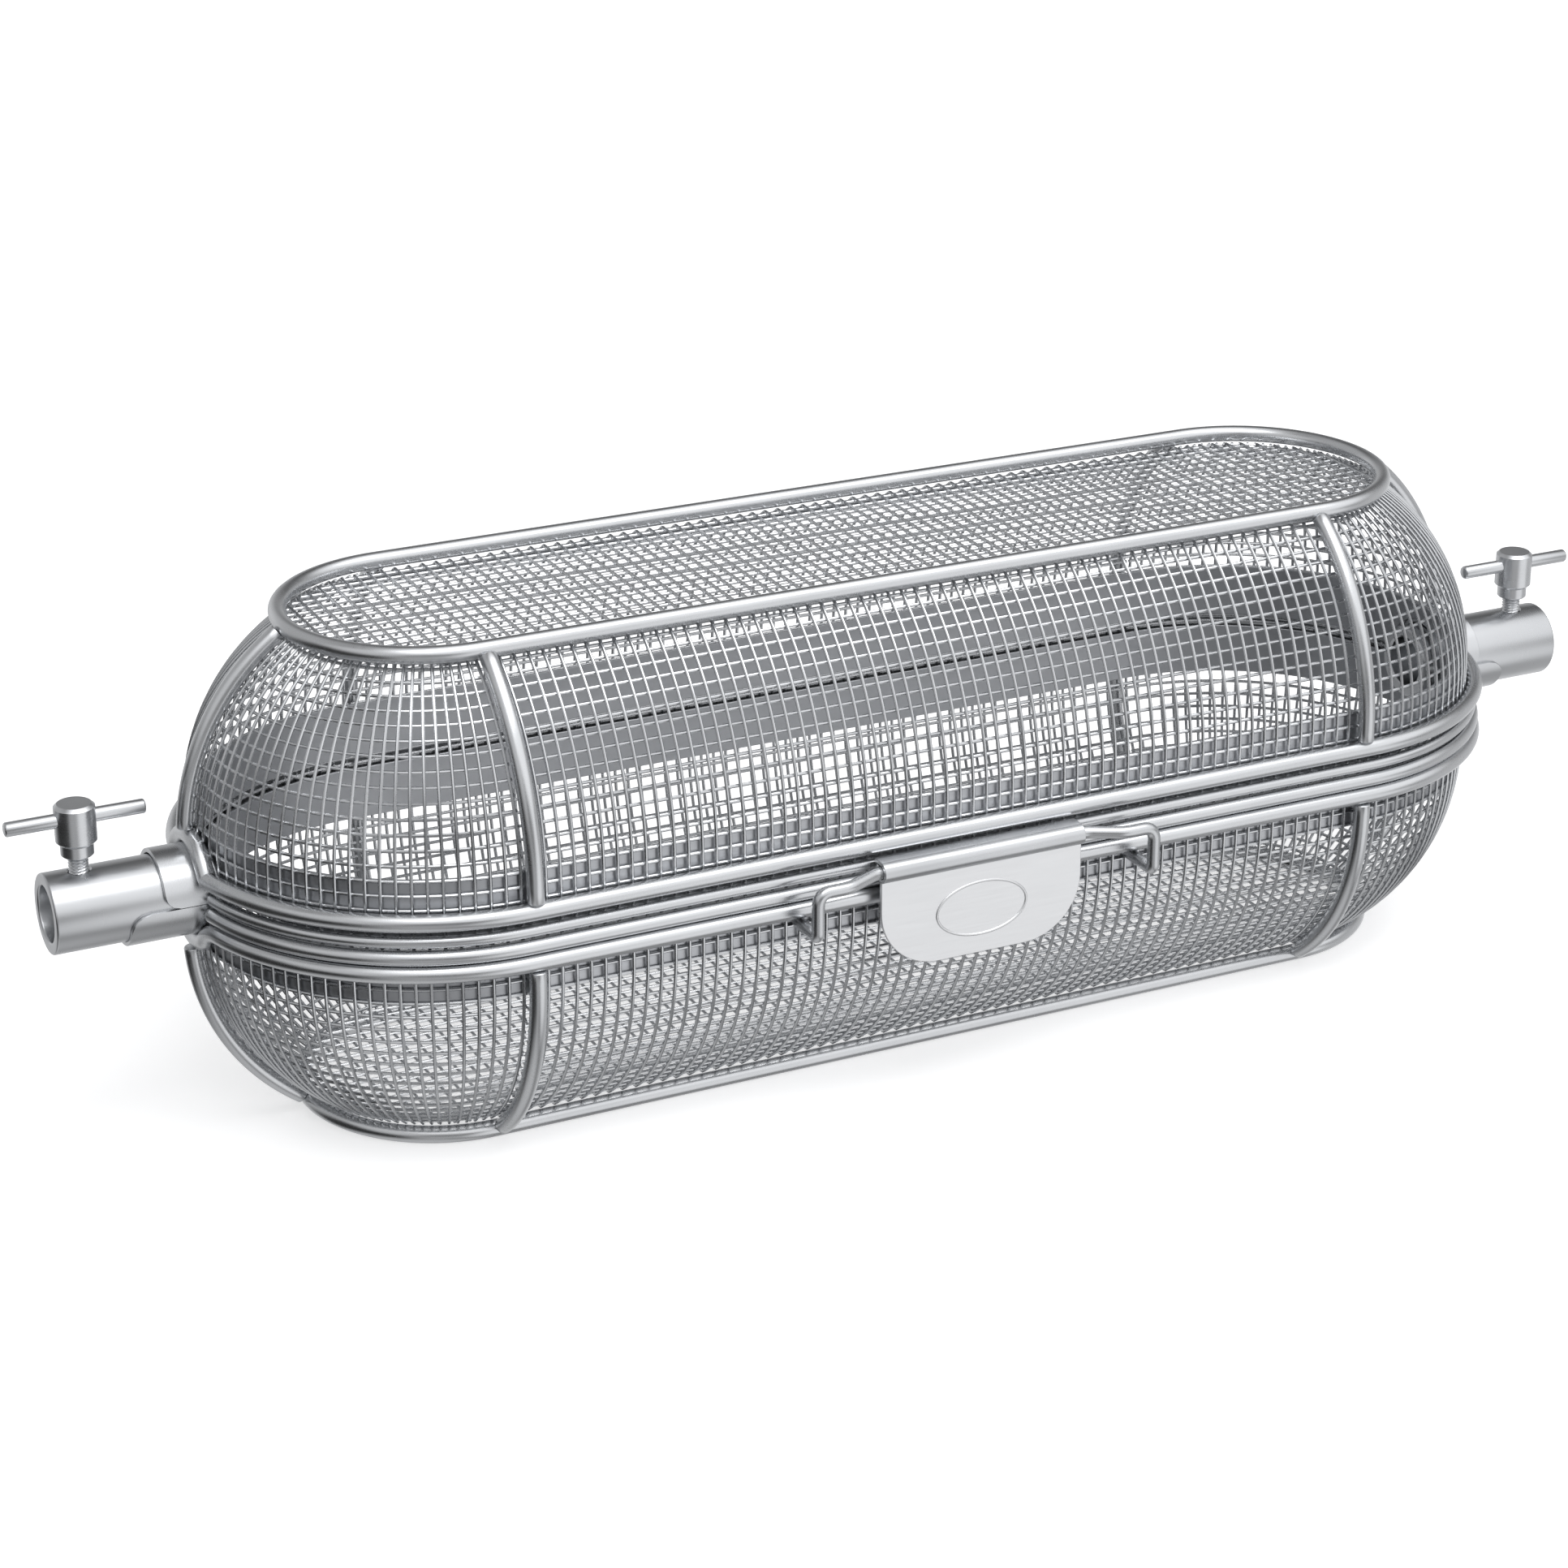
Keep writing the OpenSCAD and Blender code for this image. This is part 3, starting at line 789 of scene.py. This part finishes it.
def make_spit_tube(side_name, side):
    """A spit tube with rounded lips and a countersunk hole for its clamp screw."""
    name = "spit_tube_" + side_name
    low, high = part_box(name)
    outer, bore, soft = high.z, BORE_R, TUBE_EDGE
    inner_end, outer_end = min(abs(low.x), abs(high.x)), max(abs(low.x), abs(high.x))
    rim = arc_points((outer_end - soft, outer - soft), soft, 90, 0, 22.5)
    lip = arc_points((outer_end - soft, bore + soft), soft, 0, -90, 22.5)
    mouth = [(inner_end, bore + soft), (inner_end, outer - soft), (inner_end + soft, outer)]
    outline = mouth + rim + lip + [(inner_end + soft, bore)]
    shape = lathe(outline, "x", 64, closed=True).flipped((side, 1, 1)).turned()
    screw_low, screw_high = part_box("screw_shank_" + side_name)
    straight = [(bore / 2, SCREW_HOLE_R), (outer - SINK_DEPTH, SCREW_HOLE_R)]
    drill = lathe(straight + [(outer + MM, SCREW_HOLE_R + SINK_FLARE)], "z", 40)
    drill.moved(((screw_low.x + screw_high.x) / 2, 0, 0))
    piece(name + "_turned", shape, tube_steel, "base", "tube_steel", [name], drill=drill)


# ---------------------------------------------------------------- latch


def bail_path():
    """The bail from foot to foot: feet under the rim rod, legs, jogs and the straight in the roll."""
    front = bail_lo.y + BAIL_R
    low = bail_lo.z + BAIL_R
    leg_x = bail_hi.x - BAIL_R
    rear = RIM_R - ROD_R
    run_z = ROLL_Z - BAIL_DROP
    stub_x = tab_hi.x + BAIL_STUB
    right = [
        (stub_x, -ROLL_Y, ROLL_Z), (stub_x + BAIL_JOG, front, run_z), (leg_x, front, run_z),
        (leg_x, front, low), (leg_x, -rear, low),
    ]
    left = [(-x, y, z) for x, y, z in right[::-1]]
    corners = left + right
    runs = [run(a, b) for a, b in zip(corners, corners[1:])]
    return joined(runs, [b * MM for b in BAIL_BENDS + BAIL_BENDS[::-1]])


def make_tab():
    """The tab: lip, roll round the bail and hanging plate with a plain raised oval."""
    roll = (-ROLL_Y, ROLL_Z)
    lip_y, top = tab_hi.y, tab_hi.z
    curl = [(lip_y, top - TAB_T), (lip_y, top)]
    curl += arc_points(roll, TAB_ROLL_R, CURL_START, CURL_END)
    curl += arc_points(roll, TAB_ROLL_R - TAB_T, CURL_END, CURL_START)
    strip_shape = prism(curl, tab_lo.x, tab_hi.x, "x")
    corner = TAB_CORNER
    plate_top = ROLL_Z - TAB_ROLL_R + PLATE_LAP
    outline = arc_points((tab_lo.x + corner, tab_lo.z + corner), corner, 180, 270, 5)
    outline += arc_points((tab_hi.x - corner, tab_lo.z + corner), corner, 270, 360, 5)
    outline += [(tab_hi.x, plate_top), (tab_lo.x, plate_top)]
    front = -ROLL_Y - TAB_T / 2
    plate = prism(outline, front, front + TAB_T, "y")
    middle = (plate_top + tab_lo.z) / 2
    a = np.linspace(0, 2 * math.pi, 96, endpoint=False)
    level = np.full(len(a), front + OVAL_SINK)
    oval = np.stack([OVAL_HALF_W * np.cos(a), level, middle + OVAL_HALF_H * np.sin(a)], 1)
    ridge = sweep(oval, OVAL_RIDGE_R, 12, closed=True)
    # The plate and oval take the lighter, painted-light copy of the sheet steel; the curl takes the plain
    # one.
    for name, shape, finish, bevel in (
        ("curl", strip_shape, roll_steel, 0.12 * MM),
        ("plate", plate, tab_steel_painted_light, 0.15 * MM),
        ("oval", ridge, tab_steel_painted_light, 0),
    ):
        piece("latch_tab_" + name, shape, finish, "latch", "tab_sheet", ["latch_tab"], bevel=bevel)


# ---------------------------------------------------------------- hinges


def hinge_shapes(node, knuckles, up):
    """Rolled knuckles and plate of one leaf, with two spot welds."""
    low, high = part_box(node)
    middle = (low.x + high.x) / 2
    outer = (high.y - low.y) / 2
    pin = (high.y - outer, PIN_Z)
    end_z = high.z if up == UP else 2 * PIN_Z - low.z
    curl = [(low.y, end_z - LEAF_CORNER)] + arc_points(pin, outer, KNUCKLE_START, KNUCKLE_END)
    curl += arc_points(pin, outer - LEAF_T, KNUCKLE_END, KNUCKLE_START)
    curl += [(low.y + LEAF_T, end_z - LEAF_CORNER)]
    shapes = [
        prism(curl, middle + x - KNUCKLE_L / 2, middle + x + KNUCKLE_L / 2, "x") for x in knuckles
    ]
    outline = box_outline(low.x, high.x, PIN_Z + (outer + LEAF_CLEAR), end_z, LEAF_CORNER)
    # The plate is shifted 0.02 mm against the knuckles' tails, so that their faces don't coincide
    shapes.append(prism(outline, low.y + 0.02 * MM, low.y + LEAF_T + 0.02 * MM, "y"))
    for x in (middle - WELD_X, middle + WELD_X):
        dome = lathe(WELD_DOME, "x", 20)
        spun = Shape().add(np.vstack(dome.verts)[:, [1, 0, 2]], *dome.faces).turned()
        shapes.append(spun.moved((x, low.y + LEAF_T, end_z - WELD_BELOW_END)))
    if up == DOWN:
        shapes = [shape.flipped((1, 1, -1)).moved((0, 0, 2 * PIN_Z)) for shape in shapes]
    return shapes


def make_hinge(side_name):
    """A hinge: one knuckle on the lid between two on the base, and the pin through them."""
    for half, up, knuckles in (("lid", UP, [0]), ("base", DOWN, [-KNUCKLE_STEP, KNUCKLE_STEP])):
        node = f"hinge_{half}_leaf_{side_name}"
        shapes = hinge_shapes(node, knuckles, up)
        piece(node + "_rolled", shapes, hinge_steel, half, "hinge_steel", [node], bevel=0.12 * MM)
    node = "hinge_pin_" + side_name
    low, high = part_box(node)
    radius, half_length = (high.z - low.z) / 2, (high.x - low.x) / 2
    dome = [
        (half_length - radius * (1 - math.cos(t)) * PIN_DOME, radius * math.sin(t))
        for t in np.radians([15, 40, 65, 90])
    ]
    outline = [(-x, r) for x, r in dome] + dome[::-1]
    centre = (low + high) / 2
    shape = lathe(outline, "x", 32).moved(tuple(centre)).turned()
    piece(node + "_turned", shape, hinge_steel, "base", "hinge_steel", [node])


# ---------------------------------------------------------------- clamp screws


def thread(low, high, radius):
    """A screw thread: each ring's radius follows the helix round."""
    sides = 40
    heights = np.arange(low, high, THREAD_PITCH / 10)
    a = np.arange(sides) * 2 * math.pi / sides
    phase = (heights[:, None] / THREAD_PITCH - a[None, :] / (2 * math.pi)) % 1
    radii = radius - THREAD_DEPTH * np.abs(2 * phase - 1)
    lead = np.clip((heights - low) / THREAD_LEAD, 0, 1)[:, None]
    radii = np.minimum(radii, radius * (THREAD_TIP + 0.28 * lead))
    rings = np.stack(
        [radii * np.cos(a), radii * np.sin(a), np.repeat(heights[:, None], sides, 1)], -1
    )
    return strip(rings)


def make_screw(side_name):
    """A clamp screw: threaded shank, turned head with a shoulder, and tommy bar."""
    node = "screw_shank_" + side_name
    low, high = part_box(node)
    centre = (low + high) / 2
    at = (centre.x, 0, 0)
    shank = thread(low.z, high.z, (high.x - low.x) / 2).moved(at)
    piece(node + "_thread", shank, screw_steel, "shank_" + side_name, "screw_steel", [node])
    node = "screw_head_" + side_name
    low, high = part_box(node)
    radius, soft = (high.x - low.x) / 2, HEAD_EDGE
    outline = [(low.z, SHOULDER_R - SHOULDER_EDGE), (low.z + SHOULDER_EDGE, SHOULDER_R)]
    outline += [(NECK_Z, SHOULDER_R), (NECK_Z + 0.02 * MM, radius - soft), (NECK_Z + soft, radius)]
    outline += [(high.z - soft, radius), (high.z - 0.12 * MM, radius - soft + 0.1 * MM)]
    outline += [(high.z, radius - soft - 0.1 * MM)]
    head = lathe(outline, "z", 64).moved(at)
    low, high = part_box("screw_bar_" + side_name)
    bar_at = (centre.x, 0, (low.z + high.z) / 2)
    hole = (high.z - low.z) / 2 + BAR_CLEAR
    # The cut leaves the head's volume whole, so the bar passes through solid steel
    drill = lathe([(-2 * radius, hole), (2 * radius, hole)], "x", 40).moved(bar_at).turned()
    body = "head_" + side_name
    piece(node + "_turned", head, screw_steel, body, "screw_steel", [node], sharp=25, drill=drill)
    node = "screw_bar_" + side_name
    radius, half_length = (high.z - low.z) / 2, (high.x - low.x) / 2
    soft = BAR_EDGE
    tip = [(half_length, radius - soft), (half_length - 0.15 * MM, radius - 0.15 * MM)]
    tip += [(half_length - soft, radius)]
    outline = [(-x, r) for x, r in tip] + tip[::-1]
    shape = lathe(outline, "x", 40).moved(bar_at).turned()
    piece(node + "_turned", shape, screw_steel, body, "screw_steel", [node])


# ---------------------------------------------------------------- the object

for half_name, half_up in HALVES.items():
    make_mesh(half_name, half_up)
    make_rods(half_name, half_up)
    make_band(half_name, half_up)
    for collar_name, collar_side in SIDES.items():
        make_collar(half_name, half_up, collar_name, collar_side)
for tube_name, tube_side in SIDES.items():
    make_spit_tube(tube_name, tube_side)
    make_hinge(tube_name)
    make_screw(tube_name)
bail = sweep(bail_path(), BAIL_R, 24)
piece("latch_bail_wire", bail, bail_steel, "base", "bail_wire", ["latch_bail"])
make_tab()

# ---------------------------------------------------------------- floor, light and camera

FLOOR_REACH = 6.0
DRUM_R = 5.9
DRUM_SUNK = 1.0


def make_floor():
    """A pale matt floor that the basket rests on."""
    mesh = bpy.data.meshes.new("floor")
    z = cad_bounds[0].z
    corners = [(x * FLOOR_REACH, y * FLOOR_REACH, z) for x, y in ((-1, -1), (1, -1), (1, 1), (-1, 1))]
    mesh.from_pydata(corners, [], [(0, 1, 2, 3)])
    mat = bpy.data.materials.new("floor_paper")
    mat.use_nodes = True
    shader = mat.node_tree.nodes["Principled BSDF"]
    shader.inputs["Base Color"].default_value = (0.86, 0.86, 0.865, 1)
    shader.inputs["Roughness"].default_value = 0.9
    shader.inputs["Emission Color"].default_value = (1, 1, 1, 1)
    shader.inputs["Emission Strength"].default_value = 0.5
    mesh.materials.append(mat)
    floor = bpy.data.objects.new("floor", mesh)
    bpy.context.scene.collection.objects.link(floor)
    floor.visible_glossy = False


def make_backdrop():
    """A white drum round the floor, which only the camera sees, so it neither lights nor shades."""
    low = cad_bounds[0].z - DRUM_SUNK
    drum = lathe([(low, DRUM_R), (low + 2 * DRUM_R, DRUM_R)], "z")
    backdrop = bpy.data.objects.new("backdrop", mesh_of("backdrop", [drum]))
    mat = bpy.data.materials.new("backdrop_paper")
    mat.use_nodes = True
    shader = mat.node_tree.nodes["Principled BSDF"]
    shader.inputs["Base Color"].default_value = (0, 0, 0, 1)
    shader.inputs["Roughness"].default_value = 1
    shader.inputs["Specular IOR Level"].default_value = 0
    shader.inputs["Emission Color"].default_value = (1, 1, 1, 1)
    shader.inputs["Emission Strength"].default_value = 1
    mat.cycles.emission_sampling = "NONE"
    backdrop.data.materials.append(mat)
    bpy.context.scene.collection.objects.link(backdrop)
    backdrop.visible_diffuse = backdrop.visible_glossy = backdrop.visible_transmission = False
    backdrop.visible_shadow = False


def make_softbox(name, location, target, width, height, power):
    """A rectangular lamp at a place, turned towards its target."""
    data = bpy.data.lights.new(name, "AREA")
    data.shape = "RECTANGLE"
    data.size, data.size_y = width, height
    data.energy = power
    lamp = bpy.data.objects.new(name, data)
    lamp.location = location
    lamp.rotation_euler = (Vector(target) - Vector(location)).to_track_quat("-Z", "Y").to_euler()
    bpy.context.scene.collection.objects.link(lamp)


# Lobes of the light tent: direction, half angles of the full and the fading part, and brightness.
# A lobe below zero darkens the tent there.
TENT = (
    ((0.30, -0.50, 0.81), 34, 60, 0.98),
    ((-0.80, -0.40, 0.45), 12, 42, 0.50),
    ((0.41, -0.84, -0.37), 14, 36, 0.82),
    ((-0.45, -0.82, -0.37), 8, 28, 0.28),
    ((-0.30, -0.12, -0.95), 18, 42, 0.42),
    ((0.20, 0.90, -0.37), 22, 58, 0.45),
    ((-0.60, 0.70, 0.40), 20, 50, 0.28),
    ((0.35, 0.86, 0.36), 12, 40, -0.10),
    ((0.90, 0.10, -0.37), 15, 55, 0.42),
    ((-0.92, -0.05, -0.37), 18, 50, -0.24),
)
TENT_LEVEL = 0.20
TENT_DARKEST = 0.03


def make_world():
    """A light tent: ten broad soft lobes, two of which darken, added to an even level."""
    world = bpy.data.worlds.new("studio")
    world.use_nodes = True
    nodes, links = world.node_tree.nodes, world.node_tree.links
    coords = nodes.new("ShaderNodeTexCoord")
    total = None
    for direction, full, fade, level in TENT:
        facing = nodes.new("ShaderNodeVectorMath")
        facing.operation = "DOT_PRODUCT"
        facing.inputs[1].default_value = Vector(direction).normalized()
        links.new(coords.outputs["Generated"], facing.inputs[0])
        lobe = nodes.new("ShaderNodeMapRange")
        lobe.interpolation_type = "SMOOTHSTEP"
        lobe.inputs["From Min"].default_value = math.cos(math.radians(fade))
        lobe.inputs["From Max"].default_value = math.cos(math.radians(full))
        lobe.inputs["To Max"].default_value = level
        links.new(facing.outputs["Value"], lobe.inputs["Value"])
        added = nodes.new("ShaderNodeMath")
        added.operation = "ADD"
        added.inputs[1].default_value = TENT_LEVEL
        if total:
            links.new(total, added.inputs[1])
        links.new(lobe.outputs["Result"], added.inputs[0])
        total = added.outputs["Value"]
    held = nodes.new("ShaderNodeMath")
    held.operation = "MAXIMUM"
    held.inputs[1].default_value = TENT_DARKEST
    links.new(total, held.inputs[0])
    links.new(held.outputs["Value"], nodes["Background"].inputs["Strength"])
    nodes["Background"].inputs["Color"].default_value = (0.985, 0.99, 1, 1)
    bpy.context.scene.world = world


def make_camera():
    """The camera stands left of and above the front, about a metre away."""
    yaw, pitch, roll = math.radians(25.956), math.radians(21.744), math.radians(-0.078)
    data = bpy.data.cameras.new("camera")
    data.sensor_width = 36
    data.lens = 87.47
    data.shift_x, data.shift_y = -0.0048, -0.0300
    data.clip_start, data.clip_end = 0.05, 50
    camera = bpy.data.objects.new("camera", data)
    camera.location = (-0.41878, -0.82230, 0.37551)
    turn = Matrix.Rotation(-yaw, 3, "Z") @ Matrix.Rotation(math.pi / 2 - pitch, 3, "X")
    camera.rotation_euler = (turn @ Matrix.Rotation(roll, 3, "Z")).to_euler()
    bpy.context.scene.collection.objects.link(camera)
    bpy.context.scene.camera = camera


make_floor()
make_backdrop()
make_softbox("key", (0.1, -0.45, 1.1), (0, 0, 0), 1.2, 0.5, 5)
make_world()
make_camera()
bpy.context.scene.view_settings.view_transform = "Standard"
